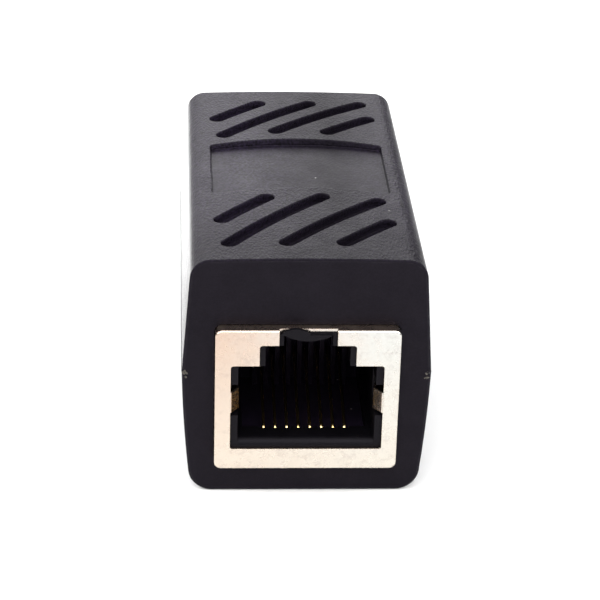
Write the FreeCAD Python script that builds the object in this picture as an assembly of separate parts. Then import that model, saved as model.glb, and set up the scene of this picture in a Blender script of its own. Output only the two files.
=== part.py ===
import FreeCAD, Part
import math
import os
from FreeCAD import Vector

# Shielded 8-way inline coupler: two identical plug sockets, soldered back to back under one small
# circuit board, with one soft plastic body moulded round the assembly.
# Millimetres. +Z up, +Y from the front socket to the rear socket, origin under the middle of the body.
# Sizes run from the inside out: plug cavity, housing, shield, board, body.

# --- clearances ----------------------------------------------------------------------------------
fit = 0.05                   # between a piece and the pocket that holds it
hole_play = 0.15             # round a tail, tab or peg in the board
groove_play = 0.04           # round a contact in its carrier
overshoot = 1.0              # how far cutting tools run past a face
hair = 1e-6                  # places closer than this are the same place

# --- stepped plug cavity -------------------------------------------------------------------------
plug_width = 11.9
plug_height = 7.2
cavity_depth = 11.9          # front of the housing to the comb
latch_width = 7.3
latch_rise = 1.95
latch_slot_width = 4.2
latch_slot_rise = 1.23       # from the latch step to the top of the housing
roof_skin = 0.15             # housing left over the slot's eaves
roof_sag = 0.56              # the roof hangs in an arc from the slot's eaves
roof_lens_middle = -1.1      # lens that stands up from the roof into the shield's mouth
roof_lens_half = 1.35
roof_lens_rise = 0.12        # over the shield
roof_lens_front = 0.08       # from the shield's front
lip_radius = 0.7             # rounded front edge of the floor
floor_length = 2.4           # solid floor in front of the contacts
nose_notch = 0.3             # notch in the floor's rear edge for each contact's nose

# --- contacts and the comb that holds them -------------------------------------------------------
contact_count = 8
contact_pitch = 1.02
contact_width = 0.4
contact_thickness = 0.25
contact_bend_radius = 0.6
contact_slope = 15.0         # degrees that the sprung arm rises towards the rear
contact_nose_gap = 0.3       # from the floor's notch to the nose of the bend
contact_nose_drop = 0.03     # top of the bend below the floor
contact_arm_in_comb = 0.9    # how far the arm's free end reaches into the comb
bend_step = 20.0             # degrees that one flat of a bend covers
tail_above_board = 0.85
first_row_gap = 0.9          # comb's back wall to the first row of tails
row_pitch = 2.54
rib_width = 0.44
comb_depth = 1.5
tray_skin = 0.35             # carrier above and below the buried run
carrier_margin = 1.32        # carrier beside the outer ribs
carrier_behind_rows = 0.86

# --- housing of a socket -------------------------------------------------------------------------
housing_wall = 1.7           # beside the plug cavity
housing_floor = 0.6          # under the carrier's tray
peg_diameter = 3.2
peg_edge = 0.33              # from a peg to the side of the housing
peg_depth = 8.6              # from the shield's front
peg_above_board = 0.4
window_play = 0.25           # slot in the side wall, below and behind the finger
window_headroom = 0.8        # and above it

# --- folded metal shield -------------------------------------------------------------------------
sheet = 0.25
shield_proud = 1.2           # how far the shield stands out of the body's end face
shield_corner_radius = 0.6
shield_fold_bevel = 0.1      # edge where the front plate folds back
fold_cut = 0.45              # the latch slot goes through the fold and this far into the top plate
roof_to_peg = 0.4            # the top plate ends this far ahead of the pegs
side_reveal = 0.65           # housing seen inside the metal mouth, each side
latch_reveal = 0.5
slot_reveal = 0.4
floor_reveal = 0.8
roof_reveal = 0.12
mouth_corner_radius = 0.25
tab_depth = 11.6             # solder tab's place, from the shield's front
tab_width = 1.0
finger_above_floor = 2.62    # earthing finger's lower edge
finger_width = 1.95
finger_thickness = 0.2
finger_root = 0.5            # length that lies on the back of the front plate
finger_crest_depth = 1.3
finger_length = 3.3
finger_reach = 0.15          # how far the finger's crest stands inside the plug cavity
finger_bend_radius = 0.2

# --- circuit board -------------------------------------------------------------------------------
board_thickness = 1.2
board_standoff = 0.05        # over the shields' top plates
board_end_margin = 0.8       # beyond the pegs
board_side_margin = 0.95     # beyond the shields
solder_radius = 0.62
solder_cap_radius = 0.34
solder_height = 0.55
solder_headroom = 1.3        # hollow in the body over the board
small_sides = 8              # small holes and solder cones are sealed inside, so they are eight-sided

# --- moulded body --------------------------------------------------------------------------------
base_wall = 2.87             # under the shields
roof_wall = 3.62             # over the hollow above the board, at the crown
side_wall = 2.85             # beside the shields, at the parting line
web_between_sockets = 5.7    # between the shields' backs
parting_height = 11.7
upper_draft = 4.15           # degrees that each side wall leans in above the parting line
lower_draft = 4.0
lower_bow = 0.14             # how far each side wall bows out below the parting line
crown_rise = 0.2             # rise of the top face from its edges to the middle
top_corner_radius = 1.8
bottom_corner_radius = 2.1
end_edge_bevel = 0.2
flash_height = 0.2           # ridge left along the parting line
flash_proud = 0.03
flash_end_gap = 0.3          # the ridge stops this far from each end

# --- relief in the top face ----------------------------------------------------------------------
panel_side_margin = 1.93     # from the top face's edge
panel_half_length = 5.8      # from mid-length to each end of the panel's straight sides
panel_bulge = 1.4            # how far both end arcs bow towards the rear
panel_depth = 0.6
panel_draft = 14.0           # degrees that the panel's walls lean outwards
panel_corner_radius = 0.5
rim_bevel = 0.08             # worn edge of the panel and slots
slot_width = 1.45
slot_depth = 0.9
slot_pitch = 4.97            # from slot to slot, across the body
slot_gap_to_panel = 1.4
slot_gap_to_end = 2.8
slot_side_margin = 2.03      # from the top face's edge to the short slots
slot_inset = 0.56            # full slots stop this much sooner than short ones
slot_bow_radius = 70.0       # the slots are gentle arcs, not straight

# --- places along a socket, counted back from the shield's front ---------------------------------
housing_front = sheet + fit
comb_front = housing_front + cavity_depth
block_front = comb_front + comb_depth
row_depths = (block_front + first_row_gap, block_front + first_row_gap + row_pitch)
block_back = row_depths[1] + carrier_behind_rows
housing_back = block_back + fit
shield_depth = housing_back + fit + sheet
floor_back = housing_front + floor_length
nose_depth = floor_back - nose_notch + contact_nose_gap + contact_thickness / 2

# --- heights -------------------------------------------------------------------------------------
shield_base = base_wall
housing_bottom = shield_base + sheet + fit
carrier_bottom = housing_bottom + housing_floor + fit
run_z = carrier_bottom + tray_skin + contact_thickness / 2
floor_z = run_z + 2 * contact_bend_radius + contact_thickness / 2 + contact_nose_drop
plug_top = floor_z + plug_height
latch_top = plug_top + latch_rise
housing_top = latch_top + latch_slot_rise
shield_top = housing_top + fit + sheet
finger_base = floor_z + finger_above_floor
board_bottom = shield_top + board_standoff
board_top = board_bottom + board_thickness
tail_top = board_top + tail_above_board
body_height = board_top + solder_headroom + roof_wall
edge_top = body_height - crown_rise

# --- widths and lengths --------------------------------------------------------------------------
housing_half = plug_width / 2 + housing_wall
shield_half = housing_half + fit + sheet
carrier_half = contact_count * contact_pitch / 2 + carrier_margin
peg_x = housing_half - peg_edge - peg_diameter / 2
tab_x = shield_half - sheet / 2
body_half = shield_half + side_wall
top_half = body_half - math.tan(math.radians(upper_draft)) * (edge_top - parting_height)
base_half = body_half - math.tan(math.radians(lower_draft)) * parting_height
panel_half = top_half - panel_side_margin
end_y = web_between_sockets / 2 + shield_depth - shield_proud
shield_front = -(end_y + shield_proud)
board_half_width = shield_half + board_side_margin
board_half_length = -(shield_front + peg_depth - peg_diameter / 2 - board_end_margin)


def depth_to_y(depth):
    return shield_front + depth


def box(x0, x1, y0, y1, z0, z1):
    return Part.makeBox(x1 - x0, y1 - y0, z1 - z0, Vector(x0, y0, z0))


def block(half_width, depth0, depth1, z0, z1):
    """Box centred on a socket's mid-plane, between two depths behind the shield's front."""
    return box(-half_width, half_width, depth_to_y(depth0), depth_to_y(depth1), z0, z1)


def post(x, depth, radius, z0, z1):
    """Upright round post or hole."""
    return Part.makeCylinder(radius, z1 - z0, Vector(x, depth_to_y(depth), z0))


def eight_sided(x, depth, radius, z):
    """Corners of a small hole or joint, as wide across its flats as a round one."""
    reach = radius / math.cos(math.pi / small_sides)
    turns = [2 * math.pi * (k + 0.5) / small_sides for k in range(small_sides)]
    return [Vector(x + reach * math.cos(turn), depth_to_y(depth) + reach * math.sin(turn), z)
            for turn in turns]


def edges_along_y(shape, test=None):
    found = []
    for edge in shape.Edges:
        bounds = edge.BoundBox
        straight = bounds.XLength < hair and bounds.ZLength < hair
        if straight and (test is None or test(edge.Vertexes[0].Point)):
            found.append(edge)
    return found


def edges_in_plane_y(shape, y):
    return [e for e in shape.Edges
            if e.BoundBox.YLength < hair and abs(e.BoundBox.Center.y - y) < hair]


def polygon_face(points):
    return Part.Face(Part.makePolygon(points + [points[0]]))


def frustum(lower, upper):
    """Solid with flat sides between two level outlines, each counted anticlockwise from above."""
    sides = [polygon_face([lower[k - 1], lower[k], upper[k], upper[k - 1]])
             for k in range(len(lower))]
    return Part.Solid(Part.makeShell([polygon_face(lower[::-1]), polygon_face(upper)] + sides))


def bent_strip(path, radius, thickness):
    """Face in the XY plane of a strip along (x, y) points, every corner bent to one mean radius."""
    points = [Vector(x, y, 0) for x, y in path]
    middle = [points[0]]
    for before, corner, after in zip(points, points[1:], points[2:]):
        into = (corner - before).normalize()
        out = (after - corner).normalize()
        turn = math.atan2(into.x * out.y - into.y * out.x, into.dot(out))
        start = corner - into * radius * math.tan(abs(turn) / 2)
        to_centre = Vector(-into.y, into.x, 0) * math.copysign(radius, turn)
        steps = math.ceil(abs(math.degrees(turn)) / bend_step)
        for i in range(steps + 1):
            swing = FreeCAD.Rotation(Vector(0, 0, 1), math.degrees(turn) * i / steps)
            middle.append(start + to_centre + swing.multVec(-to_centre))
    middle.append(points[-1])
    left, right = [], []
    for i, point in enumerate(middle):
        back = (point - middle[max(i - 1, 0)]).normalize() if i else Vector(0, 0, 0)
        ahead = (middle[i + 1] - point).normalize() if i + 1 < len(middle) else Vector(0, 0, 0)
        way = (back + ahead).normalize()
        mitre = 1 / way.dot(back if i else ahead)
        offset = Vector(-way.y, way.x, 0) * mitre * thickness / 2
        left.append(point + offset)
        right.append(point - offset)
    return polygon_face(left + right[::-1])


def turned_to_rear(shape):
    """The rear socket is the front one turned half round the upright axis."""
    copy = shape.copy()
    copy.rotate(Vector(0, 0, 0), Vector(0, 0, 1), 180)
    return copy


# --- moulded body --------------------------------------------------------------------------------
def body_blank():
    crown = Part.Arc(Vector(top_half, -end_y, edge_top), Vector(0, -end_y, body_height),
                     Vector(-top_half, -end_y, edge_top)).toShape()
    edges = [crown]
    for side in (-1, 1):
        top, widest, base = (Vector(side * x, -end_y, z) for x, z in
                             ((top_half, edge_top), (body_half, parting_height), (base_half, 0)))
        bow = (widest + base) / 2 + Vector(side * lower_bow, 0, 0)
        edges += [Part.makeLine(top, widest), Part.Arc(widest, bow, base).toShape()]
    edges.append(Part.makeLine(Vector(-base_half, -end_y, 0), Vector(base_half, -end_y, 0)))
    outline = Part.Wire(Part.__sortEdges__(edges))
    blank = Part.Face(outline).extrude(Vector(0, 2 * end_y, 0))
    top = edges_along_y(blank, lambda p: abs(p.z - edge_top) < hair)
    blank = blank.makeFillet(top_corner_radius, top)
    blank = blank.makeFillet(bottom_corner_radius, edges_along_y(blank, lambda p: abs(p.z) < hair))
    ends = edges_in_plane_y(blank, -end_y) + edges_in_plane_y(blank, end_y)
    return blank.makeChamfer(end_edge_bevel, ends)


def flash_ridge(side):
    """Thin ridge where the two halves of the mould met."""
    root = side * (body_half - flash_height / 2)
    tip = side * (body_half + flash_proud)
    y = -end_y + flash_end_gap
    face = polygon_face([Vector(root, y, parting_height - flash_height / 2),
                         Vector(tip, y, parting_height),
                         Vector(root, y, parting_height + flash_height / 2)])
    return face.extrude(Vector(0, -2 * y, 0))


def panel_arc_y(x, end):
    """Y of the panel's front (end -1) or rear (end +1) arc at a distance x from mid-width."""
    radius = (panel_half ** 2 + panel_bulge ** 2) / (2 * panel_bulge)
    return end * panel_half_length + panel_bulge - radius + math.sqrt(radius ** 2 - x ** 2)


def panel_outline(z):
    """The panel's outline at a height. It has its full size at the crown of the top face."""
    inset = (body_height - z) * math.tan(math.radians(panel_draft))
    half = panel_half - inset
    edges = []
    for end in (-1, 1):
        left, middle, right = (Vector(x, panel_arc_y(x, end) - end * inset, z) for x in (-half, 0, half))
        edges.append(Part.Arc(left, middle, right).toShape())
    for x in (-half, half):
        edges.append(Part.makeLine(Vector(x, panel_arc_y(x, -1) + inset, z),
                                   Vector(x, panel_arc_y(x, 1) - inset, z)))
    return Part.Wire(Part.__sortEdges__(edges))


def panel_cutter():
    cutter = Part.makeLoft([panel_outline(body_height - panel_depth),
                            panel_outline(body_height + overshoot)], True, True)
    corners = [e for e in cutter.Edges if e.BoundBox.ZLength > panel_depth]
    return cutter.makeFillet(panel_corner_radius, corners)


def slot_ends():
    """Centres of the rounded ends of the eight slots, four ahead of the panel and four behind it.

    Each group has two full slots. They run from the row near the body's end to the panel's arc, and
    a short slot lies parallel to each of them, cut off at the side margin.
    """
    reach = top_half - slot_side_margin - slot_width / 2
    run = 2 * (reach - slot_inset) - slot_pitch
    row_y = end_y - slot_gap_to_end - slot_width / 2
    gap = slot_gap_to_panel + slot_width / 2

    def near_y(x, end):
        return -row_y if end < 0 else panel_arc_y(x, end) + gap

    def far_y(x, end):
        return panel_arc_y(x, end) - gap if end < 0 else row_y

    pairs = []
    for end in (-1, 1):
        for side in (-1, 1):
            near_x = -(run - side * slot_pitch) / 2
            far_x = near_x + run
            full = ((near_x, near_y(near_x, end)), (far_x, far_y(far_x, end)))
            slope = (full[1][1] - full[0][1]) / run
            if side < 0:
                x = far_x - slot_pitch
                y = far_y(x, end)
                short = ((-reach, y - slope * (x + reach)), (x, y))
            else:
                x = near_x + slot_pitch
                y = near_y(x, end)
                short = ((x, y), (reach, y + slope * (reach - x)))
            pairs += [full, short]
    return pairs


def slot_cutter(start, finish):
    z = body_height - slot_depth
    a = Vector(start[0], start[1], z)
    b = Vector(finish[0], finish[1], z)
    along = (b - a).normalize()
    half = Vector(-along.y, along.x, 0) * slot_width / 2
    cap = along * slot_width / 2
    bow = slot_bow_radius - math.sqrt(slot_bow_radius ** 2 - ((b - a).Length / 2) ** 2)
    middle = (a + b) / 2 + Vector(-along.y, along.x, 0) * bow
    outline = Part.Wire([Part.Arc(a + half, middle + half, b + half).toShape(),
                         Part.Arc(b + half, b + cap, b - half).toShape(),
                         Part.Arc(b - half, middle - half, a - half).toShape(),
                         Part.Arc(a - half, a - cap, a + half).toShape()])
    return Part.Face(outline).extrude(Vector(0, 0, slot_depth + overshoot))


def socket_pocket():
    """Space that the body leaves round a shield."""
    pocket = block(shield_half + fit, shield_proud - overshoot, shield_depth + fit,
                   shield_base - fit, shield_top + fit)
    return pocket.makeFillet(shield_corner_radius + fit, edges_along_y(pocket))


def tab_notch(side):
    x = side * tab_x
    half = sheet / 2 + fit
    return box(x - half, x + half, depth_to_y(tab_depth - tab_width / 2 - fit),
               depth_to_y(tab_depth + tab_width / 2 + fit),
               shield_top - shield_corner_radius - fit, board_bottom)


def board_pocket():
    x = board_half_width + fit
    y = board_half_length + fit
    return box(-x, x, -y, y, shield_top, board_top + solder_headroom)


def overmould_body():
    body = body_blank().fuse([flash_ridge(-1), flash_ridge(1)])
    socket_tools = [socket_pocket(), tab_notch(-1), tab_notch(1)]
    tools = socket_tools + [turned_to_rear(tool) for tool in socket_tools]
    tools += [board_pocket(), panel_cutter()]
    tools += [slot_cutter(start, finish) for start, finish in slot_ends()]
    body = body.cut(tools)
    top = max(body.Faces, key=lambda face: face.CenterOfMass.z)
    rims = [edge for wire in top.Wires if not wire.isSame(top.OuterWire) for edge in wire.Edges]
    return body.makeChamfer(rim_bevel, rims)


# --- folded metal shield -------------------------------------------------------------------------
def mouth_cutter():
    """Stepped hole in the shield's front plate. Its latch slot goes on through the fold."""
    span = (-overshoot, sheet + fit / 2)
    wide = block(plug_width / 2 + side_reveal, *span, floor_z - floor_reveal, plug_top + roof_reveal)
    wide = wide.makeFillet(mouth_corner_radius, edges_along_y(wide))
    step = block(latch_width / 2 + latch_reveal, *span, floor_z, latch_top + roof_reveal)
    upper = edges_along_y(step, lambda p: p.z > plug_top)
    step = step.makeFillet(mouth_corner_radius, upper)
    slot = block(latch_slot_width / 2 + slot_reveal, -overshoot, fold_cut,
                 latch_top, shield_top + overshoot)
    return wide.fuse([step, slot])


def earthing_finger(side):
    """Spring on the back of the front plate. It leans into the cavity and out again."""
    edge = plug_width / 2 + side_reveal
    crest = plug_width / 2 - finger_reach + finger_thickness / 2
    root = sheet + finger_thickness / 2
    path = [(edge + finger_root, root), (edge, root),
            (crest, finger_crest_depth), (edge - finger_thickness, finger_length)]
    finger = bent_strip(path, finger_bend_radius, finger_thickness)
    finger = finger.extrude(Vector(0, 0, finger_width))
    finger.translate(Vector(0, shield_front, finger_base))
    return finger if side > 0 else finger.mirror(Vector(0, 0, 0), Vector(1, 0, 0))


def solder_tab(side):
    x = side * tab_x
    return box(x - sheet / 2, x + sheet / 2, depth_to_y(tab_depth - tab_width / 2),
               depth_to_y(tab_depth + tab_width / 2), shield_top - shield_corner_radius - sheet, tail_top)


def socket_shield():
    outer = block(shield_half, 0, shield_depth, shield_base, shield_top)
    outer = outer.makeFillet(shield_corner_radius, edges_along_y(outer))
    outer = outer.makeChamfer(shield_fold_bevel, edges_in_plane_y(outer, shield_front))
    inner = block(shield_half - sheet, sheet, shield_depth - sheet,
                  shield_base + sheet, shield_top - sheet)
    inner = inner.makeFillet(shield_corner_radius - sheet, edges_along_y(inner))
    roof_gap = block(peg_x + peg_diameter / 2 + hole_play,
                     peg_depth - peg_diameter / 2 - roof_to_peg, shield_depth + overshoot,
                     housing_top, shield_top + overshoot)
    shell = outer.cut([inner, mouth_cutter(), roof_gap])
    extras = [earthing_finger(-1), earthing_finger(1), solder_tab(-1), solder_tab(1)]
    return shell.fuse(extras).removeSplitter()


# --- socket housing ------------------------------------------------------------------------------
def roof_ends(depth):
    """Both eaves of the latch slot."""
    return [Vector(side * latch_slot_width / 2, depth_to_y(depth), housing_top - roof_skin)
            for side in (-1, 1)]


def roof_arc(depth):
    """The latch slot's roof hangs down between its eaves in a shallow arc."""
    left, right = roof_ends(depth)
    return Part.Arc(left, (left + right) / 2 - Vector(0, 0, roof_sag), right).toShape()


def latch_slot_cutter(depth0, depth1):
    """Top step of the plug cavity."""
    left, right = roof_ends(depth0)
    drop = Vector(0, 0, housing_top - roof_skin - plug_top)
    walls = Part.makePolygon([right, right - drop, left - drop, left])
    face = Part.Face(Part.Wire([roof_arc(depth0)] + walls.Edges))
    return face.extrude(Vector(0, depth1 - depth0, 0))


def roof_lens():
    """Lens on the roof's front, up to where the latch slot goes through the shield's fold."""
    y = depth_to_y(roof_lens_front)
    left, right = (Vector(roof_lens_middle + side * roof_lens_half, y, housing_top - roof_skin)
                   for side in (-1, 1))
    crown = Part.Arc(left, Vector(roof_lens_middle, y, shield_top + roof_lens_rise), right).toShape()
    sides = [Part.makeLine(side_end, eaves_end) for side_end, eaves_end in
             zip((left, right), roof_ends(roof_lens_front))]
    face = Part.Face(Part.Wire(Part.__sortEdges__([roof_arc(roof_lens_front), crown] + sides)))
    return face.extrude(Vector(0, fold_cut - fit - roof_lens_front, 0))


def plug_cavity():
    span = (housing_front - overshoot, block_front)
    return [block(plug_width / 2, *span, floor_z, plug_top),
            block(latch_width / 2, *span, floor_z, latch_top),
            latch_slot_cutter(*span)]


def finger_window(side):
    """Slot through the side wall for the earthing finger."""
    middle = side * (plug_width / 2 + housing_wall / 2)
    half = housing_wall / 2 + fit
    return box(middle - half, middle + half,
               depth_to_y(housing_front - overshoot), depth_to_y(finger_length + window_play),
               finger_base - window_play, finger_base + finger_width + window_headroom)


def carrier_pocket():
    """Hollow under and behind the plug cavity, open to the rear, for the contact carrier."""
    half = carrier_half + fit
    low = carrier_bottom - fit
    tray = block(half, floor_back, housing_back + overshoot, low, floor_z + fit)
    rear = block(half, block_front - fit, housing_back + overshoot, low, housing_top + overshoot)
    notches = []
    for i in range(contact_count):
        notch = block(contact_width / 2 + hole_play, floor_back - nose_notch, floor_back + fit,
                      low, floor_z + fit)
        notch.translate(Vector(contact_x(i), 0, 0))
        notches.append(notch)
    return [tray, rear] + notches


def socket_housing():
    outer = block(housing_half, housing_front, housing_back, housing_bottom, housing_top)
    outer = outer.makeFillet(shield_corner_radius - sheet, edges_along_y(outer))
    housing = outer.cut(plug_cavity() + carrier_pocket() + [finger_window(-1), finger_window(1)])
    lip = [e for e in edges_in_plane_y(housing, depth_to_y(housing_front))
           if e.BoundBox.ZLength < hair and abs(e.BoundBox.Center.z - floor_z) < hair]
    housing = housing.makeFillet(lip_radius, lip)
    pegs = [post(side * peg_x, peg_depth, peg_diameter / 2, latch_top, board_top + peg_above_board)
            for side in (-1, 1)]
    return housing.fuse([roof_lens()] + pegs).removeSplitter()


# --- contacts, their carrier and the board -------------------------------------------------------
def contact_x(index):
    """Contact 1 is on the right of a socket seen from its mouth, with the latch slot on top."""
    return ((contact_count - 1) / 2 - index) * contact_pitch


def contact_shape(index, extra=0.0):
    """One flat spring wire. With extra, the groove that holds it."""
    slope = math.radians(contact_slope)
    row = row_depths[index % 2]
    corner = nose_depth + contact_bend_radius - contact_bend_radius / math.tan(slope / 2)
    arm_end = comb_front + contact_arm_in_comb
    path = [(row, tail_top), (row, run_z), (corner, run_z),
            (arm_end, run_z + (arm_end - corner) * math.tan(slope))]
    face = bent_strip(path, contact_bend_radius, contact_thickness + 2 * extra)
    face.rotate(Vector(0, 0, 0), Vector(1, 1, 1), 120)       # what was drawn in XY now lies in YZ
    width = contact_width + 2 * extra
    wire = face.extrude(Vector(width, 0, 0))
    wire.translate(Vector(contact_x(index) - width / 2, shield_front, 0))
    return wire


def contact_carrier():
    """Insert with a tray under the sprung arms, a block for the tails and a comb between the two."""
    tray_top = run_z + contact_thickness / 2 + tray_skin
    tray = block(carrier_half, nose_depth + contact_bend_radius, block_back, carrier_bottom, tray_top)
    rear = block(carrier_half, block_front, block_back, carrier_bottom, housing_top)
    ribs = []
    for i in range(contact_count + 1):
        x = (i - contact_count / 2) * contact_pitch
        ribs.append(box(x - rib_width / 2, x + rib_width / 2, depth_to_y(comb_front),
                        depth_to_y(block_front + fit), carrier_bottom, plug_top - fit))
    solid = tray.fuse([rear] + ribs).removeSplitter()
    return solid.cut([contact_shape(i, groove_play) for i in range(contact_count)])


def board_holes():
    """Holes for one socket: its tails, two pegs and two shield tabs."""
    low = board_bottom - overshoot
    high = board_top + overshoot
    tail_radius = math.hypot(contact_width, contact_thickness) / 2 + hole_play
    tab_radius = math.hypot(tab_width, sheet) / 2 + hole_play
    small = [eight_sided(contact_x(i), row_depths[i % 2], tail_radius, low)
             for i in range(contact_count)]
    small += [eight_sided(side * tab_x, tab_depth, tab_radius, low) for side in (-1, 1)]
    holes = [polygon_face(corners).extrude(Vector(0, 0, high - low)) for corners in small]
    for side in (-1, 1):
        holes.append(post(side * peg_x, peg_depth, peg_diameter / 2 + hole_play, low, high))
    return holes


def circuit_board():
    board = box(-board_half_width, board_half_width, -board_half_length, board_half_length,
                board_bottom, board_top)
    front = board_holes()
    return board.cut(front + [turned_to_rear(hole) for hole in front])


def solder_joints():
    """A small cone of solder round each tail, on the board's upper face."""
    joints = []
    for i in range(contact_count):
        x = contact_x(i)
        depth = row_depths[i % 2]
        y = depth_to_y(depth)
        cone = frustum(eight_sided(x, depth, solder_radius, board_top),
                       eight_sided(x, depth, solder_cap_radius, board_top + solder_height))
        tail = box(x - contact_width / 2, x + contact_width / 2,
                   y - contact_thickness / 2, y + contact_thickness / 2,
                   board_top - overshoot, board_top + solder_height + overshoot)
        joints.append(cone.cut(tail))
    return Part.makeCompound(joints)


def write(name, shape):
    """One STEP file per piece."""
    for solid in shape.Solids:
        if not solid.isValid():
            raise ValueError(name + " is not a sound solid")
    piece = shape.Solids[0] if len(shape.Solids) == 1 else Part.makeCompound(shape.Solids)
    piece.exportStep(os.path.join("parts", name + ".step"))
    print(name, len(shape.Solids), round(piece.Volume, 3))


def main():
    os.makedirs("parts", exist_ok=True)
    write("overmould_body", overmould_body())
    write("circuit_board", circuit_board())
    pieces = {"shield": socket_shield(), "jack_housing": socket_housing(),
              "contact_carrier": contact_carrier(), "solder_joints": solder_joints()}
    for i in range(contact_count):
        pieces["contact_%d" % (i + 1)] = contact_shape(i)
    for name, shape in pieces.items():
        write("front_" + name, shape)
        write("rear_" + name, turned_to_rear(shape))


main()
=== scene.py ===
import math

import bmesh
import bpy
from mathutils import Matrix, Vector


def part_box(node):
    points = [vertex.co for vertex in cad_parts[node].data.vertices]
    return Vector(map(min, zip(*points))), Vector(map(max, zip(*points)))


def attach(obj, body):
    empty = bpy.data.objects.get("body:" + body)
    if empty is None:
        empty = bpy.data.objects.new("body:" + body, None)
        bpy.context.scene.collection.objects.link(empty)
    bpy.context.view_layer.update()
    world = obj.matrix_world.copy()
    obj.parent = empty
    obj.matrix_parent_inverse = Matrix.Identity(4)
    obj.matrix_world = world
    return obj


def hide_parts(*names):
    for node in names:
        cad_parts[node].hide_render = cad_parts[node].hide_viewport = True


# Looks of the shielded inline coupler: black overmould, two nickel-plated sockets with gold contacts,
# on a pale floor under soft studio light. Sizes are in metres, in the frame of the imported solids.
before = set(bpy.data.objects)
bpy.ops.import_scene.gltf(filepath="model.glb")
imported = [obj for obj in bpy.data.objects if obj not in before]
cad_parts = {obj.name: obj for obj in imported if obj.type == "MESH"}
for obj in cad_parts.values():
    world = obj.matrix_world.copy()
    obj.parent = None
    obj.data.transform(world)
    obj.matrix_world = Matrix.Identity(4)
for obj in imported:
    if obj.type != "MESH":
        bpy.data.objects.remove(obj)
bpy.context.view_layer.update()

MM = 0.001
JOIN_DISTANCE = 0.0005 * MM
SHARP_ANGLE = math.radians(28)
GRAIN_STRETCH = 0.5              # the grain is twice as long along the body as across it

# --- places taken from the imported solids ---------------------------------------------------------
BODY_LOW, BODY_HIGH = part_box("overmould_body")
SHIELD_LOW, SHIELD_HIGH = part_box("front_shield")
NEAR_LOW, NEAR_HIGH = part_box("front_contact_1")      # its tail is in the row nearer the mouth
FAR_LOW, FAR_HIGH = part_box("front_contact_2")        # its tail is in the row behind

CONTACT_COUNT = 8
CONTACT_PITCH = NEAR_LOW.x - FAR_LOW.x
WIRE_WIDTH = NEAR_HIGH.x - NEAR_LOW.x
WIRE_THICKNESS = 0.25 * MM
WIRE_EDGE_RADIUS = 0.07 * MM
WIRE_BEND_RADIUS = 0.6 * MM
WIRE_SLOPE = math.radians(15.0)
ARM_END_DEPTH = 13.1 * MM        # free end of the sprung arm, behind the shield's front

MOUTH_HALF = 6.6 * MM            # half the width of the shield's mouth
PARTING_HEIGHT = 11.7 * MM
PANEL_HALF = 8.1 * MM            # half the width of the recessed panel
PANEL_FLOOR = BODY_HIGH.z - 0.6 * MM
PAINTED_SHEEN_LEAST_X = 3.0 * MM       # the top's painted sheen is least along this line
CRUMB_COUNT = 9
CRUMB_SIZES = (0.04 * MM, 0.12 * MM)


# --- small helpers -------------------------------------------------------------------------------
def add(tree, kind, values=None, **settings):
    """One node, its settings, and a value or a link for each named or numbered socket."""
    made = tree.nodes.new(kind)
    for name, value in settings.items():
        setattr(made, name, value)
    for name, value in (values or {}).items():
        socket = made.inputs[name]
        if isinstance(value, bpy.types.NodeSocket):
            tree.links.new(value, socket)
        else:
            socket.default_value = value
    return made


def calc(tree, operation, *values):
    """Output of a math node on values or links."""
    return add(tree, "ShaderNodeMath", dict(enumerate(values)), operation=operation).outputs[0]


def ramp(tree, value, low, high, out_low=0.0, out_high=1.0):
    """Value mapped from one range to another and held inside it."""
    values = {"Value": value, "From Min": low, "From Max": high, "To Min": out_low, "To Max": out_high}
    return add(tree, "ShaderNodeMapRange", values).outputs["Result"]


def mix_value(tree, share, first, second):
    """First value where the share is 0, second where it is 1."""
    return calc(tree, "MULTIPLY_ADD", share, calc(tree, "SUBTRACT", second, first), first)


def mix_colour(tree, share, first, second):
    """First colour where the share is 0, second where it is 1."""
    made = add(tree, "ShaderNodeMix", data_type="RGBA")
    for name, value in (("Factor_Float", share), ("A_Color", first), ("B_Color", second)):
        socket = next(found for found in made.inputs if found.identifier == name)
        if isinstance(value, bpy.types.NodeSocket):
            tree.links.new(value, socket)
        else:
            socket.default_value = value
    return next(found for found in made.outputs if found.identifier == "Result_Color")


def place_on_object(tree):
    """X, Y and Z of the shaded point, as three sockets."""
    return add(tree, "ShaderNodeSeparateXYZ",
               {0: add(tree, "ShaderNodeTexCoord").outputs["Object"]}).outputs


def facing(tree, normal="True Normal"):
    """X, Y and Z of the way that the surface faces, as three sockets."""
    return add(tree, "ShaderNodeSeparateXYZ",
               {0: add(tree, "ShaderNodeNewGeometry").outputs[normal]}).outputs


def new_group(name, kind, inputs, outputs):
    """Empty node group with named sockets. Each input is a name, a socket type and a default."""
    group = bpy.data.node_groups.new(name, kind)
    for socket_name, socket_type, default in inputs:
        socket = group.interface.new_socket(socket_name, in_out="INPUT", socket_type=socket_type)
        if default is not None:
            socket.default_value = default
    for socket_name, socket_type in outputs:
        group.interface.new_socket(socket_name, in_out="OUTPUT", socket_type=socket_type)
    return group, group.nodes.new("NodeGroupInput"), group.nodes.new("NodeGroupOutput")


def use_group(tree, group, values):
    """The group's node in a tree, with a value or a link for each named input."""
    made = tree.nodes.new(tree.bl_idname.replace("NodeTree", "NodeGroup"))
    made.node_tree = group
    for name, value in values.items():
        if isinstance(value, bpy.types.NodeSocket):
            tree.links.new(value, made.inputs[name])
        else:
            made.inputs[name].default_value = value
    return made


FLOAT = "NodeSocketFloat"


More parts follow.
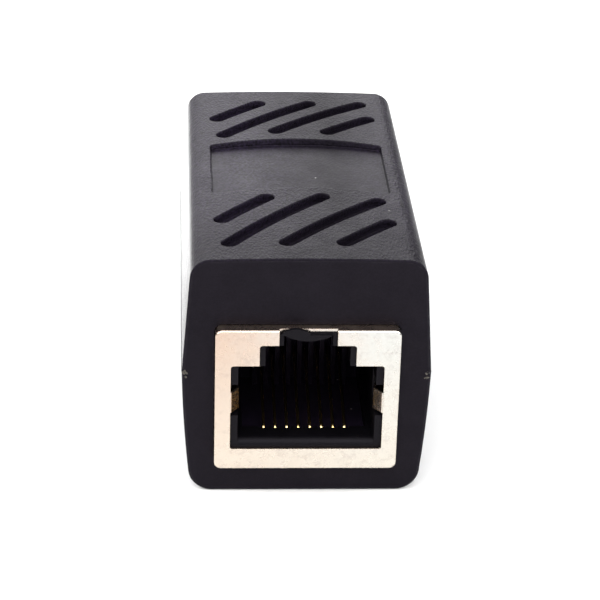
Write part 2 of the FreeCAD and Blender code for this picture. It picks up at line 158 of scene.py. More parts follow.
# --- shared surface effects ----------------------------------------------------------------------
def make_grain_group():
    """Spark-eroded mould texture: fine pits and bumps of one size, with a little coarser unevenness."""
    group, given, out = new_group(
        "mould_grain", "ShaderNodeTree",
        [("Grain Size", FLOAT, 0.15 * MM), ("Unevenness", FLOAT, 0.3)],
        [("Height", FLOAT), ("Speckle", FLOAT)])
    place = add(group, "ShaderNodeVectorMath",
                {0: add(group, "ShaderNodeTexCoord").outputs["Object"], 1: (1.0, GRAIN_STRETCH, 1.0)},
                operation="MULTIPLY").outputs["Vector"]
    fine_scale = calc(group, "DIVIDE", 1.0, given.outputs["Grain Size"])
    coarse_scale = calc(group, "MULTIPLY", fine_scale, 0.22)
    fine = add(group, "ShaderNodeTexNoise", {"Vector": place, "Scale": fine_scale, "Detail": 2.0,
                                             "Roughness": 0.6})
    coarse = add(group, "ShaderNodeTexNoise", {"Vector": place, "Scale": coarse_scale, "Detail": 1.0})
    pits = add(group, "ShaderNodeTexVoronoi", {"Vector": place, "Scale": fine_scale})
    bumps = calc(group, "MULTIPLY_ADD", pits.outputs["Distance"], 0.5, fine.outputs["Fac"])
    rolling = calc(group, "MULTIPLY", coarse.outputs["Fac"], given.outputs["Unevenness"])
    group.links.new(calc(group, "ADD", bumps, rolling), out.inputs["Height"])
    group.links.new(ramp(group, fine.outputs["Fac"], 0.35, 0.65), out.inputs["Speckle"])
    return group


def make_mottle_group():
    """Soft blotches at two sizes, as plating stains and flow marks have."""
    group, given, out = new_group(
        "mottle", "ShaderNodeTree", [("Blotch Size", FLOAT, 2 * MM), ("Offset", FLOAT, 0.0)],
        [("Blotch", FLOAT)])
    place = add(group, "ShaderNodeTexCoord").outputs["Object"]
    scale = calc(group, "DIVIDE", 1.0, given.outputs["Blotch Size"])
    wide = add(group, "ShaderNodeTexNoise", {"Vector": place, "W": given.outputs["Offset"],
                                             "Scale": scale, "Detail": 3.0, "Distortion": 0.6},
               noise_dimensions="4D")
    small = add(group, "ShaderNodeTexNoise", {"Vector": place, "W": given.outputs["Offset"],
                                              "Scale": calc(group, "MULTIPLY", scale, 5.0),
                                              "Detail": 2.0}, noise_dimensions="4D")
    both = calc(group, "MULTIPLY_ADD", small.outputs["Fac"], 0.35,
                calc(group, "MULTIPLY", wide.outputs["Fac"], 0.65))
    group.links.new(ramp(group, both, 0.35, 0.65), out.inputs["Blotch"])
    return group


def make_wear_group():
    """Edges rubbed in a broken line: where a rounded-off normal leaves the true one."""
    group, given, out = new_group(
        "edge_wear", "ShaderNodeTree",
        [("Edge Width", FLOAT, 0.15 * MM), ("Breakup Size", FLOAT, 0.6 * MM), ("Amount", FLOAT, 0.5)],
        [("Wear", FLOAT)])
    rounded = add(group, "ShaderNodeBevel", {"Radius": given.outputs["Edge Width"]}, samples=6)
    true_normal = add(group, "ShaderNodeNewGeometry").outputs["Normal"]
    along = add(group, "ShaderNodeVectorMath", {0: rounded.outputs["Normal"], 1: true_normal},
                operation="DOT_PRODUCT").outputs["Value"]
    edge = ramp(group, along, 0.995, 0.9)
    place = add(group, "ShaderNodeTexCoord").outputs["Object"]
    patches = add(group, "ShaderNodeTexNoise",
                  {"Vector": place, "Scale": calc(group, "DIVIDE", 1.0, given.outputs["Breakup Size"]),
                   "Detail": 4.0})
    broken = ramp(group, patches.outputs["Fac"], 0.4, 0.65)
    worn = calc(group, "MULTIPLY", calc(group, "MULTIPLY", edge, broken), given.outputs["Amount"])
    group.links.new(worn, out.inputs["Wear"])
    return group


def make_dust_group():
    """Sparse pale specks that lie on upward faces."""
    group, given, out = new_group(
        "dust", "ShaderNodeTree",
        [("Speck Size", FLOAT, 0.12 * MM), ("Spacing", FLOAT, 1.2 * MM), ("Share", FLOAT, 0.2)],
        [("Dust", FLOAT)])
    place = add(group, "ShaderNodeTexCoord").outputs["Object"]
    cells = add(group, "ShaderNodeTexVoronoi",
                {"Vector": place, "Scale": calc(group, "DIVIDE", 1.0, given.outputs["Spacing"])})
    reach = calc(group, "DIVIDE", given.outputs["Speck Size"], given.outputs["Spacing"])
    warp = add(group, "ShaderNodeTexNoise",
               {"Vector": place, "Scale": calc(group, "DIVIDE", 2.5, given.outputs["Speck Size"])})
    uneven = calc(group, "MULTIPLY", reach, calc(group, "ADD", warp.outputs["Fac"], 0.2))
    speck = ramp(group, calc(group, "SUBTRACT", cells.outputs["Distance"], uneven), 0.02, -0.02)
    draw = add(group, "ShaderNodeSeparateColor", {"Color": cells.outputs["Color"]}).outputs["Red"]
    chosen = calc(group, "LESS_THAN", draw, given.outputs["Share"])
    lying = ramp(group, facing(group, "Normal")["Z"], 0.3, 0.9)
    settled = calc(group, "MULTIPLY", calc(group, "MULTIPLY", speck, chosen), lying)
    group.links.new(settled, out.inputs["Dust"])
    return group


mould_grain = make_grain_group()
mottle = make_mottle_group()
edge_wear = make_wear_group()
dust = make_dust_group()


# --- materials -----------------------------------------------------------------------------------
def start_material(name, **constants):
    """Material with a Principled BSDF whose plain sockets hold the given constants."""
    material = bpy.data.materials.new(name)
    material.use_nodes = True
    tree = material.node_tree
    tree.nodes.clear()
    shader = tree.nodes.new("ShaderNodeBsdfPrincipled")
    surface = tree.nodes.new("ShaderNodeOutputMaterial")
    tree.links.new(shader.outputs[0], surface.inputs["Surface"])
    for socket_name, value in constants.items():
        shader.inputs[socket_name.replace("_", " ")].default_value = value
    return material, tree, shader


def bump(tree, shader, height, distance, edge_radius):
    """Relief on a normal that is rounded off over the edges."""
    rounded = add(tree, "ShaderNodeBevel", {"Radius": edge_radius}, samples=6)
    made = add(tree, "ShaderNodeBump", {"Height": height, "Distance": distance,
                                        "Normal": rounded.outputs["Normal"]})
    tree.links.new(made.outputs["Normal"], shader.inputs["Normal"])


def body_zones(tree, place):
    """Masks on the moulded body: its flat ends, its sides, and the smooth floors of the relief."""
    away_x = calc(tree, "ABSOLUTE", place["X"])
    away_y = calc(tree, "ABSOLUTE", place["Y"])
    ends = ramp(tree, away_y, BODY_HIGH.y - 0.12 * MM, BODY_HIGH.y - 0.04 * MM)
    sides = ramp(tree, calc(tree, "ABSOLUTE", facing(tree)["X"]), 0.8, 0.97)
    below = ramp(tree, place["Z"], PANEL_FLOOR + 0.15 * MM, PANEL_FLOOR + 0.05 * MM)
    within = ramp(tree, away_x, PANEL_HALF + 0.4 * MM, PANEL_HALF + 0.2 * MM)
    return ends, sides, calc(tree, "MULTIPLY", below, within)


def painted_sheen_share(tree, place):
    """Share of the painted sheen on the top, which is also made glossier there: more towards both
    sides, and less near the front.
    """
    aside = calc(tree, "ABSOLUTE", calc(tree, "SUBTRACT", place["X"], PAINTED_SHEEN_LEAST_X))
    behind = ramp(tree, place["Y"], BODY_LOW.y + 2 * MM, BODY_LOW.y + 12 * MM, 0.2, 1.0)
    return calc(tree, "MULTIPLY", ramp(tree, aside, 0.5 * MM, 8 * MM), behind)


def make_body_material():
    """Soft black plastic with an eroded grain and a painted sheen on its top, smooth on its ends, sides
    and relief floors.
    """
    material, tree, shader = start_material("soft_black_pvc", IOR=1.5, Specular_IOR_Level=0.1,
                                            Specular_Tint=(0.92, 0.83, 1.0, 1))
    place = place_on_object(tree)
    ends, sides, floors = body_zones(tree, place)
    polished = calc(tree, "MAXIMUM", ends, sides)
    smooth = calc(tree, "MAXIMUM", polished, calc(tree, "MULTIPLY", floors, 0.7))
    painted_sheen = painted_sheen_share(tree, place)
    grain = use_group(tree, mould_grain, {"Grain Size": 0.2 * MM, "Unevenness": 0.5})
    blotch = use_group(tree, mottle, {"Blotch Size": 2.4 * MM, "Offset": 3.0}).outputs["Blotch"]
    wear = use_group(tree, edge_wear, {"Edge Width": 0.22 * MM, "Amount": 0.6}).outputs["Wear"]
    specks = use_group(tree, dust, {"Speck Size": 0.11 * MM, "Spacing": 1.5 * MM,
                                    "Share": 0.1}).outputs["Dust"]
    base = mix_colour(tree, blotch, (0.0036, 0.0030, 0.0044, 1), (0.0052, 0.0044, 0.0062, 1))
    # The pale speckle is the grain's own tone, and the painted sheen share spreads it wider as a
    # painted sheen.
    speckle_share = mix_value(tree, polished, ramp(tree, painted_sheen, 0.0, 1.0, 0.16, 0.66), 0.05)
    speckled = mix_colour(tree, calc(tree, "MULTIPLY", grain.outputs["Speckle"], speckle_share),
                          base, (0.030, 0.0225, 0.044, 1))
    rubbed = mix_colour(tree, wear, speckled, (0.02, 0.0185, 0.0215, 1))
    dusty = mix_colour(tree, calc(tree, "MULTIPLY", specks, 0.5), rubbed, (0.5, 0.49, 0.48, 1))
    tree.links.new(dusty, shader.inputs["Base Color"])
    rough = ramp(tree, blotch, 0.0, 1.0, 0.47, 0.4)
    rough = calc(tree, "MULTIPLY_ADD", painted_sheen, -0.08, calc(tree, "ADD", rough, 0.04))
    rough = calc(tree, "MULTIPLY_ADD", wear, -0.1, rough)
    rough = calc(tree, "MULTIPLY_ADD", sides, -0.3, rough)
    tree.links.new(rough, shader.inputs["Roughness"])
    depth = ramp(tree, smooth, 0.0, 1.0, 1.0, 0.1)
    bump(tree, shader, calc(tree, "MULTIPLY", grain.outputs["Height"], depth),
         distance=0.062 * MM, edge_radius=0.1 * MM)
    return material


def make_satin_plastic(name, tone, gloss, roughness, grain_size):
    """Black moulding of the inserts. The gloss is the strength of its reflection."""
    material, tree, shader = start_material(name, IOR=1.5, Specular_IOR_Level=gloss,
                                            Specular_Tint=(0.95, 0.88, 1.0, 1))
    grain = use_group(tree, mould_grain, {"Grain Size": grain_size, "Unevenness": 0.4})
    blotch = use_group(tree, mottle, {"Blotch Size": 1.5 * MM, "Offset": 7.0}).outputs["Blotch"]
    wear = use_group(tree, edge_wear, {"Edge Width": 0.1 * MM, "Amount": 0.5}).outputs["Wear"]
    specks = use_group(tree, dust, {"Speck Size": 0.12 * MM, "Spacing": 0.9 * MM,
                                    "Share": 0.05}).outputs["Dust"]
    dark, light, scuffed = [tuple(part * share for part in tone) + (1,) for share in (0.8, 1.25, 3)]
    base = mix_colour(tree, blotch, dark, light)
    rubbed = mix_colour(tree, wear, base, scuffed)
    dusty = mix_colour(tree, calc(tree, "MULTIPLY", specks, 0.5), rubbed, (0.4, 0.39, 0.38, 1))
    tree.links.new(dusty, shader.inputs["Base Color"])
    rough = calc(tree, "MULTIPLY_ADD", blotch, 0.08, roughness)
    tree.links.new(calc(tree, "MULTIPLY_ADD", wear, -0.08, rough), shader.inputs["Roughness"])
    bump(tree, shader, grain.outputs["Height"], distance=0.006 * MM, edge_radius=0.06 * MM)
    return material


def plating_tone(tree, place, cloud):
    """Nickel, warmer at one side and whiter at the other: a tone partly its own and partly painted
    light that grows to the right. It is lighter low down, as painted light, and brassy where it is
    thin.
    """
    # Painted light: the plate grows lighter and whiter towards the right, over a warm tone of its own
    # at the left.
    rightward_painted_light = ramp(tree, calc(tree, "MULTIPLY_ADD", cloud, 3 * MM, place["X"]), -6 * MM, 8 * MM)
    # Painted light: the plate is lighter low down and darker towards the top.
    height = ramp(tree, calc(tree, "MULTIPLY_ADD", cloud, 2 * MM, place["Z"]),
                  SHIELD_LOW.z + 2 * MM, SHIELD_HIGH.z - 2 * MM)
    painted_dim_left_tone = mix_colour(tree, height, (0.61, 0.53, 0.445, 1), (0.525, 0.402, 0.322, 1))
    painted_lit_right_tone = mix_colour(tree, height, (0.625, 0.58, 0.51, 1), (0.56, 0.555, 0.525, 1))
    plate = mix_colour(tree, rightward_painted_light, painted_dim_left_tone, painted_lit_right_tone)
    # The brass also grows lighter and paler towards the right: painted light, as on the plate.
    brass = mix_colour(tree, rightward_painted_light, (0.34, 0.21, 0.11, 1), (0.37, 0.30, 0.255, 1))
    within_mouth = ramp(tree, calc(tree, "ABSOLUTE", place["X"]), MOUTH_HALF + 0.4 * MM,
                        MOUTH_HALF + 0.2 * MM)
    facing_aside = ramp(tree, calc(tree, "ABSOLUTE", facing(tree)["X"]), 0.5, 0.7)
    return mix_colour(tree, calc(tree, "MULTIPLY", within_mouth, facing_aside), plate, brass)


def make_plating_material():
    """Nickel-plated sheet with clouds, small stains, worn edges and specks."""
    material, tree, shader = start_material("nickel_plate", Metallic=1.0)
    cloud = use_group(tree, mottle, {"Blotch Size": 1.3 * MM, "Offset": 1.0}).outputs["Blotch"]
    fine = use_group(tree, mould_grain, {"Grain Size": 0.06 * MM, "Unevenness": 1.2})
    wear = use_group(tree, edge_wear, {"Edge Width": 0.07 * MM, "Breakup Size": 0.4 * MM,
                                       "Amount": 0.9}).outputs["Wear"]
    specks = use_group(tree, dust, {"Speck Size": 0.1 * MM, "Spacing": 1.0 * MM,
                                    "Share": 0.15}).outputs["Dust"]
    lying = ramp(tree, calc(tree, "ABSOLUTE", facing(tree)["Z"]), 0.6, 0.9)
    base = mix_colour(tree, lying, plating_tone(tree, place_on_object(tree), cloud),
                      (0.78, 0.63, 0.51, 1))
    stain = use_group(tree, mottle, {"Blotch Size": 0.7 * MM, "Offset": 4.0}).outputs["Blotch"]
    stained = mix_colour(tree, ramp(tree, stain, 0.5, 1.0, 0.0, 0.22), base, (0.22, 0.17, 0.16, 1))
    brassy = mix_colour(tree, wear, stained, (0.66, 0.52, 0.36, 1))
    dusty = mix_colour(tree, calc(tree, "MULTIPLY", specks, 0.4), brassy, (0.2, 0.19, 0.18, 1))
    tree.links.new(dusty, shader.inputs["Base Color"])
    rough = calc(tree, "MULTIPLY_ADD", lying, 0.02, ramp(tree, cloud, 0.0, 1.0, 0.3, 0.22))
    tree.links.new(calc(tree, "MULTIPLY_ADD", specks, 0.3, rough), shader.inputs["Roughness"])
    bump(tree, shader, fine.outputs["Height"], distance=0.0012 * MM, edge_radius=0.05 * MM)
    return material


def make_metal(name, dull, bright, roughness, blotch_size):
    """Plated metal whose tone drifts between two colours."""
    material, tree, shader = start_material(name, Metallic=1.0)
    cloud = use_group(tree, mottle, {"Blotch Size": blotch_size, "Offset": 5.0}).outputs["Blotch"]
    fine = use_group(tree, mould_grain, {"Grain Size": 0.05 * MM, "Unevenness": 0.8})
    tree.links.new(mix_colour(tree, cloud, dull, bright), shader.inputs["Base Color"])
    tree.links.new(calc(tree, "MULTIPLY_ADD", cloud, -0.06, roughness), shader.inputs["Roughness"])
    bump(tree, shader, fine.outputs["Height"], distance=0.002 * MM, edge_radius=0.04 * MM)
    return material


def make_board_material():
    """Green solder mask with the glass weave showing through."""
    material, tree, shader = start_material("green_solder_mask", IOR=1.5, Roughness=0.3)
    weave = add(tree, "ShaderNodeTexChecker",
                {"Vector": add(tree, "ShaderNodeTexCoord").outputs["Object"],
                 "Scale": 1 / (0.5 * MM)}).outputs["Fac"]
    cloud = use_group(tree, mottle, {"Blotch Size": 3 * MM, "Offset": 9.0}).outputs["Blotch"]
    base = mix_colour(tree, cloud, (0.008, 0.06, 0.022, 1), (0.012, 0.09, 0.032, 1))
    woven = mix_colour(tree, calc(tree, "MULTIPLY", weave, 0.12), base, (0.03, 0.13, 0.05, 1))
    tree.links.new(woven, shader.inputs["Base Color"])
    bump(tree, shader, weave, distance=0.004 * MM, edge_radius=0.05 * MM)
    return material


def make_flash_material():
    """Stretched, whitened plastic at the torn parting line."""
    material, tree, shader = start_material("torn_flash", IOR=1.5, Specular_IOR_Level=0.5)
    blotch = use_group(tree, mottle, {"Blotch Size": 0.35 * MM, "Offset": 2.0}).outputs["Blotch"]
    grain = use_group(tree, mould_grain, {"Grain Size": 0.08 * MM, "Unevenness": 0.5})
    tree.links.new(mix_colour(tree, blotch, (0.012, 0.011, 0.012, 1), (0.13, 0.115, 0.095, 1)),
                   shader.inputs["Base Color"])
    tree.links.new(ramp(tree, blotch, 0.0, 1.0, 0.4, 0.6), shader.inputs["Roughness"])
    bump(tree, shader, grain.outputs["Height"], distance=0.01 * MM, edge_radius=0.03 * MM)
    return material


soft_black_pvc = make_body_material()
housing_black = make_satin_plastic("satin_black_pbt", (0.002, 0.0017, 0.0025), gloss=0.13,
                                   roughness=0.44, grain_size=0.12 * MM)
# The carrier's black is several times lighter than the housing's: painted light in the deep cavity
# around the contacts.
carrier_black_painted_lighter = make_satin_plastic("satin_black_carrier_painted_light", (0.010, 0.007, 0.014), gloss=0.08,
                                   roughness=0.38, grain_size=0.1 * MM)
nickel_plate = make_plating_material()
gold_plate = make_metal("gold_plate", (0.86, 0.60, 0.22, 1), (1.0, 0.80, 0.42, 1),
                        roughness=0.22, blotch_size=0.6 * MM)
bright_tin = make_metal("bright_tin", (0.66, 0.66, 0.68, 1), (0.80, 0.80, 0.82, 1),
                        roughness=0.3, blotch_size=0.5 * MM)
green_solder_mask = make_board_material()
torn_flash = make_flash_material()


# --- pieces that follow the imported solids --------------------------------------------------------
def moulded_copy(name, node, material):
    """A node's shape as one joined skin, smooth over its curves. It stands for the node."""
    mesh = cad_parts[node].data.copy()
    mesh.name = name
    skin = bmesh.new()
    skin.from_mesh(mesh)
    bmesh.ops.remove_doubles(skin, verts=skin.verts, dist=JOIN_DISTANCE)
    bmesh.ops.recalc_face_normals(skin, faces=skin.faces)
    for face in skin.faces:
        face.smooth = True
    for edge in skin.edges:
        edge.smooth = len(edge.link_faces) == 2 and edge.calc_face_angle() < SHARP_ANGLE
    skin.to_mesh(mesh)
    skin.free()
    if "custom_normal" in mesh.attributes:
        mesh.attributes.remove(mesh.attributes["custom_normal"])
    mesh.materials.clear()
    mesh.materials.append(material)
    piece = bpy.data.objects.new(name, mesh)
    bpy.context.scene.collection.objects.link(piece)
    flat_faces_rule = piece.modifiers.new("flat_faces_rule", "WEIGHTED_NORMAL")
    flat_faces_rule.keep_sharp = True
    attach(piece, "root")
    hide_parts(node)


moulded_copy("moulded_body", "overmould_body", soft_black_pvc)
for end in ("front", "rear"):
    moulded_copy(end + "_shield_shell", end + "_shield", nickel_plate)
    moulded_copy(end + "_housing_moulding", end + "_jack_housing", housing_black)
    moulded_copy(end + "_carrier_moulding", end + "_contact_carrier", carrier_black_painted_lighter)


# --- contacts ------------------------------------------------------------------------------------
def bent_wire(tree, given, profile, row):
    """One wire: down from its tail's top, forward along its run, round the bend and back up."""
    path_points = [(row, "Tail Top"), (row, "Run Height"), ("Corner", "Run Height"),
                   ("Arm End", "Arm End Height")]
    line = add(tree, "GeometryNodeMeshLine", {"Count": len(path_points)})
    corners = add(tree, "GeometryNodeIndexSwitch", data_type="VECTOR")
    while len(corners.index_switch_items) < len(path_points):
        corners.index_switch_items.new()
    tree.links.new(add(tree, "GeometryNodeInputIndex").outputs[0], corners.inputs["Index"])
    for number, (depth, height) in enumerate(path_points):
        point = add(tree, "ShaderNodeCombineXYZ", {"Y": given.outputs[depth],
                                                   "Z": given.outputs[height]})
        tree.links.new(point.outputs[0], corners.inputs[number + 1])
    path = add(tree, "GeometryNodeSetPosition", {"Geometry": line.outputs[0],
                                                 "Position": corners.outputs[0]})
    curve = add(tree, "GeometryNodeMeshToCurve", {"Mesh": path.outputs[0]})
    bent = add(tree, "GeometryNodeFilletCurve",
               {"Curve": curve.outputs[0], "Radius": given.outputs["Bend Radius"],
                "Count": 14, "Limit Radius": True}, mode="POLY")
    swept = add(tree, "GeometryNodeCurveToMesh",
                {"Curve": bent.outputs[0], "Profile Curve": profile, "Fill Caps": True})
    return add(tree, "GeometryNodeGeometryToInstance", {0: swept.outputs[0]}).outputs[0]


def make_contact_row_tree():
    """A row of hairpin spring wires whose tails take turns between two rows."""
    sizes = [("Count", "NodeSocketInt", CONTACT_COUNT)]
    sizes += [(name, FLOAT, 0.0) for name in
              ("Pitch", "Wire Width", "Wire Thickness", "Edge Radius", "Bend Radius", "Near Row",
               "Far Row", "Tail Top", "Run Height", "Corner", "Arm End", "Arm End Height")]
    sizes.append(("Finish", "NodeSocketMaterial", None))
    tree, given, out = new_group("contact_row", "GeometryNodeTree",
                                 sizes, [("Wires", "NodeSocketGeometry")])

    profile = add(tree, "GeometryNodeCurvePrimitiveQuadrilateral",
                  {"Width": given.outputs["Wire Thickness"], "Height": given.outputs["Wire Width"]})
    rounded = add(tree, "GeometryNodeFilletCurve",
                  {"Curve": profile.outputs[0], "Radius": given.outputs["Edge Radius"],
                   "Count": 3, "Limit Radius": True}, mode="POLY")
    joined = tree.nodes.new("GeometryNodeJoinGeometry")
    for row in ("Far Row", "Near Row"):          # what is linked last comes first
        tree.links.new(bent_wire(tree, given, rounded.outputs[0], row), joined.inputs[0])
    across = add(tree, "ShaderNodeCombineXYZ",
                 {"X": calc(tree, "MULTIPLY", given.outputs["Pitch"], -1.0)}).outputs[0]
    half_row = calc(tree, "MULTIPLY", calc(tree, "SUBTRACT", given.outputs["Count"], 1.0), 0.5)
    first = add(tree, "ShaderNodeCombineXYZ",
                {"X": calc(tree, "MULTIPLY", half_row, given.outputs["Pitch"])}).outputs[0]
    stations = add(tree, "GeometryNodeMeshLine", {"Count": given.outputs["Count"],
                                                  "Start Location": first, "Offset": across})
    turn = calc(tree, "MODULO", add(tree, "GeometryNodeInputIndex").outputs[0], 2.0)
    placed = add(tree, "GeometryNodeInstanceOnPoints",
                 {"Points": stations.outputs[0], "Instance": joined.outputs[0],
                  "Pick Instance": True, "Instance Index": turn})
    real = add(tree, "GeometryNodeRealizeInstances", {0: placed.outputs[0]})
    smooth = add(tree, "GeometryNodeSetShadeSmooth", {0: real.outputs[0]})
    made = add(tree, "GeometryNodeSetMaterial", {0: smooth.outputs[0],
                                                 "Material": given.outputs["Finish"]})
    tree.links.new(made.outputs[0], out.inputs[0])
    return tree


def grow(name, tree, values, turned=False):
    """Plain mesh of what a geometry node tree makes from the named values."""
    seed = bpy.data.objects.new(name + "_seed", bpy.data.meshes.new(name + "_seed"))
    bpy.context.scene.collection.objects.link(seed)
    modifier = seed.modifiers.new("made", "NODES")
    modifier.node_group = tree
    for item in tree.interface.items_tree:
        if item.item_type == "SOCKET" and item.in_out == "INPUT" and item.name in values:
            modifier[item.identifier] = values[item.name]
    bpy.context.view_layer.update()
    graph = bpy.context.evaluated_depsgraph_get()
    mesh = bpy.data.meshes.new_from_object(seed.evaluated_get(graph))
    bpy.data.objects.remove(seed)
    mesh.name = name
    if turned:
        mesh.transform(Matrix.Rotation(math.pi, 4, "Z"))
    piece = bpy.data.objects.new(name, mesh)
    bpy.context.scene.collection.objects.link(piece)
    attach(piece, "root")
    return piece


def contact_sizes():
    """Sizes and places of the front socket's wires, along their middle line."""
    half_wire = WIRE_THICKNESS / 2
    run = NEAR_LOW.z + half_wire
    nose = NEAR_LOW.y + half_wire
    corner = nose + WIRE_BEND_RADIUS - WIRE_BEND_RADIUS / math.tan(WIRE_SLOPE / 2)
    arm_end = SHIELD_LOW.y + ARM_END_DEPTH
    return {"Count": CONTACT_COUNT, "Pitch": CONTACT_PITCH, "Wire Width": WIRE_WIDTH,
            "Wire Thickness": WIRE_THICKNESS, "Edge Radius": WIRE_EDGE_RADIUS,
            "Bend Radius": WIRE_BEND_RADIUS, "Near Row": NEAR_HIGH.y - half_wire,
            "Far Row": FAR_HIGH.y - half_wire, "Tail Top": NEAR_HIGH.z,
            "Run Height": run, "Corner": corner, "Arm End": arm_end,
            "Arm End Height": run + (arm_end - corner) * math.tan(WIRE_SLOPE),
            "Finish": gold_plate}


contact_row = make_contact_row_tree()
for end in ("front", "rear"):
    wires = grow(end + "_contact_wires", contact_row, contact_sizes(), turned=end == "rear")
    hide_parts(*["%s_contact_%d" % (end, i + 1) for i in range(CONTACT_COUNT)])


# --- flash torn at the ends of the parting line --------------------------------------------------
def make_crumb_tree():
    """Irregular crumbs strewn through a small box, each turned and sized by chance."""
    raggedness = 1.8
    full_turn = 6.28
    tree, given, out = new_group(
        "flash_crumbs", "GeometryNodeTree",
        [("Count", "NodeSocketInt", CRUMB_COUNT), ("Low Corner", "NodeSocketVector", None),
         ("High Corner", "NodeSocketVector", None), ("Smallest", FLOAT, CRUMB_SIZES[0]),
         ("Largest", FLOAT, CRUMB_SIZES[1]), ("Seed", "NodeSocketInt", 0),
         ("Finish", "NodeSocketMaterial", None)], [("Crumbs", "NodeSocketGeometry")])
    seed = given.outputs["Seed"]
    line = add(tree, "GeometryNodeMeshLine", {"Count": given.outputs["Count"]})
    strewn = add(tree, "FunctionNodeRandomValue", data_type="FLOAT_VECTOR")
    tree.links.new(given.outputs["Low Corner"], strewn.inputs["Min"])
    tree.links.new(given.outputs["High Corner"], strewn.inputs["Max"])
    tree.links.new(seed, strewn.inputs["Seed"])
    points = add(tree, "GeometryNodeSetPosition", {"Geometry": line.outputs[0],
                                                   "Position": strewn.outputs["Value"]})
    ball = add(tree, "GeometryNodeMeshIcoSphere", {"Radius": 1.0, "Subdivisions": 4})
    rough = add(tree, "ShaderNodeTexNoise", {"Scale": 1.3, "Detail": 2.0})
    torn = add(tree, "ShaderNodeVectorMath", {0: rough.outputs["Color"], 1: (0.5, 0.5, 0.5)},
               operation="SUBTRACT")
    push = add(tree, "ShaderNodeVectorMath", {0: torn.outputs["Vector"], 1: (raggedness,) * 3},
               operation="MULTIPLY")
    ragged = add(tree, "GeometryNodeSetPosition", {"Geometry": ball.outputs[0],
                                                   "Offset": push.outputs["Vector"]})
    size = add(tree, "FunctionNodeRandomValue", data_type="FLOAT")
    for socket in size.inputs:
        if socket.type == "VALUE" and socket.name in ("Min", "Max"):
            tree.links.new(given.outputs["Smallest" if socket.name == "Min" else "Largest"], socket)
    tree.links.new(seed, size.inputs["Seed"])
    turn = add(tree, "FunctionNodeRandomValue", data_type="FLOAT_VECTOR")
    turn.inputs["Max"].default_value = (full_turn,) * 3
    tree.links.new(seed, turn.inputs["Seed"])
    placed = add(tree, "GeometryNodeInstanceOnPoints",
                 {"Points": points.outputs[0], "Instance": ragged.outputs[0],
                  "Rotation": turn.outputs["Value"],
                  "Scale": next(found for found in size.outputs if found.type == "VALUE")})
    real = add(tree, "GeometryNodeRealizeInstances", {0: placed.outputs[0]})
    smooth = add(tree, "GeometryNodeSetShadeSmooth", {0: real.outputs[0]})
    made = add(tree, "GeometryNodeSetMaterial", {0: smooth.outputs[0],
                                                 "Material": given.outputs["Finish"]})
    tree.links.new(made.outputs[0], out.inputs[0])
    return tree


def strew_crumbs(name, tree, side, seed):
    """Crumbs on the front face where the parting line ends, at the side -1 or 1."""
    inner, outer = BODY_HIGH.x - 0.62 * MM, BODY_HIGH.x - 0.06 * MM
    low_x, high_x = sorted((side * inner, side * outer))
    depth = BODY_LOW.y + 0.02 * MM
    crumbs = grow(name, tree,
                  {"Count": CRUMB_COUNT, "Low Corner": (low_x, depth, PARTING_HEIGHT - 0.55 * MM),
                   "High Corner": (high_x, depth + 0.06 * MM, PARTING_HEIGHT + 0.25 * MM),
                   "Smallest": CRUMB_SIZES[0], "Largest": CRUMB_SIZES[1], "Seed": seed,
                   "Finish": torn_flash})


crumb_tree = make_crumb_tree()
strew_crumbs("left_flash_crumbs", crumb_tree, side=-1, seed=3)
strew_crumbs("right_flash_crumbs", crumb_tree, side=1, seed=8)


# --- pieces sealed inside, as they are in the solids ---------------------------------------------
def finish_node(node, material):
    """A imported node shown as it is, in the given material."""
    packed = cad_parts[node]
    if not packed.data.materials:
        packed.data.materials.append(material)
    for slot in packed.material_slots:
        slot.material = material


finish_node("circuit_board", green_solder_mask)
for end in ("front", "rear"):
    finish_node(end + "_solder_joints", bright_tin)


# --- floor, light and camera ---------------------------------------------------------------------
FLOOR_HALF = 2.0
FLOOR_DROP = 0.02 * MM           # the floor lies this far under the base
CAMERA_SENSOR = 36.0
CAMERA_LENS = 136.67
CAMERA_PLACE = (-11.54 * MM, -193.75 * MM, 103.13 * MM)
CAMERA_TURN = (64.1183, -1.4772, -2.8285)     # degrees
# Each softbox's name, place, width, height and power. All of them face the middle of the body.
SOFTBOXES = [("back_softbox", (-0.15, 0.6, 0.32), 0.9, 0.45, 4.1),
             ("top_softbox", (-0.1, -0.05, 0.8), 0.7, 0.7, 3.2),
             ("left_softbox", (-0.45, -0.12, 0.35), 0.4, 0.4, 2.6),
             ("right_softbox", (0.45, -0.12, 0.35), 0.4, 0.4, 2.6),
             ("front_softbox", (0.0, -0.5, 0.5), 0.6, 0.6, 4.0)]


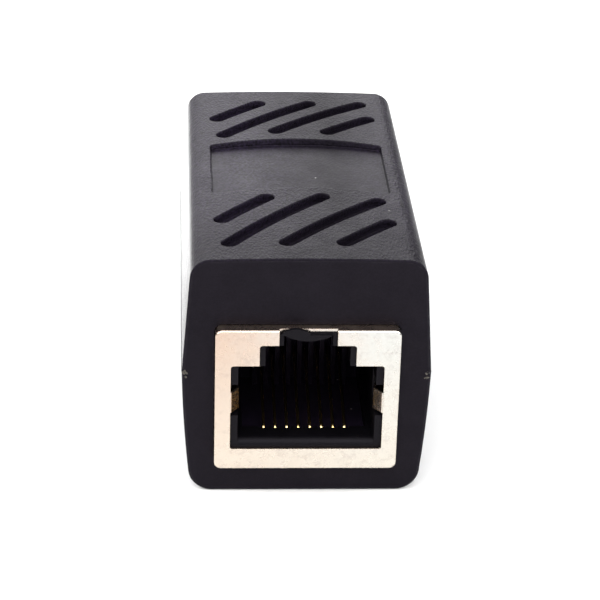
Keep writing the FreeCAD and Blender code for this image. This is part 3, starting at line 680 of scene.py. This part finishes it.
def make_floor():
    """Wide pale floor with a trace of unevenness in its tone."""
    material, tree, shader = start_material("pale_floor", Roughness=0.9, Specular_IOR_Level=0.0)
    cloud = use_group(tree, mottle, {"Blotch Size": 60 * MM, "Offset": 0.0}).outputs["Blotch"]
    tree.links.new(mix_colour(tree, cloud, (0.90, 0.90, 0.90, 1), (0.91, 0.91, 0.91, 1)),
                   shader.inputs["Base Color"])
    corners = [(x * FLOOR_HALF, y * FLOOR_HALF, 0) for x, y in ((-1, -1), (1, -1), (1, 1), (-1, 1))]
    mesh = bpy.data.meshes.new("floor")
    mesh.from_pydata(corners, [], [(0, 1, 2, 3)])
    mesh.materials.append(material)
    floor = bpy.data.objects.new("floor", mesh)
    bpy.context.scene.collection.objects.link(floor)
    floor.location.z = -FLOOR_DROP


def make_softbox(name, place, aim, width, height, power):
    """Rectangular area light that faces the aim."""
    light = bpy.data.lights.new(name, "AREA")
    light.shape = "RECTANGLE"
    light.size = width
    light.size_y = height
    light.energy = power
    lamp = bpy.data.objects.new(name, light)
    bpy.context.scene.collection.objects.link(lamp)
    lamp.location = place
    lamp.rotation_euler = (aim - Vector(place)).to_track_quat("-Z", "Y").to_euler()


def make_world(overhead, horizon):
    """White studio that is brighter towards the horizon, as a lit backdrop is."""
    world = bpy.data.worlds.new("studio")
    bpy.context.scene.world = world
    world.use_nodes = True
    tree = world.node_tree
    direction = add(tree, "ShaderNodeTexCoord").outputs["Generated"]
    steepness = add(tree, "ShaderNodeSeparateXYZ", {0: direction}).outputs["Z"]
    tree.links.new(ramp(tree, steepness, 0.05, 0.45, horizon, overhead),
                   tree.nodes["Background"].inputs["Strength"])


def make_camera():
    """Long lens in front of the coupler and a little above it."""
    data = bpy.data.cameras.new("camera")
    data.sensor_width = CAMERA_SENSOR
    data.lens = CAMERA_LENS
    data.clip_start = 0.01
    data.clip_end = 20.0
    camera = bpy.data.objects.new("camera", data)
    bpy.context.scene.collection.objects.link(camera)
    camera.location = CAMERA_PLACE
    camera.rotation_euler = [math.radians(angle) for angle in CAMERA_TURN]
    bpy.context.scene.camera = camera


make_floor()
make_world(overhead=0.62, horizon=1.5)
middle = Vector((0, 0, BODY_HIGH.z / 2))
for name, place, width, height, power in SOFTBOXES:
    make_softbox(name, place, middle, width, height, power)
make_camera()
bpy.context.scene.view_settings.view_transform = "Standard"
bpy.context.scene.view_settings.look = "None"
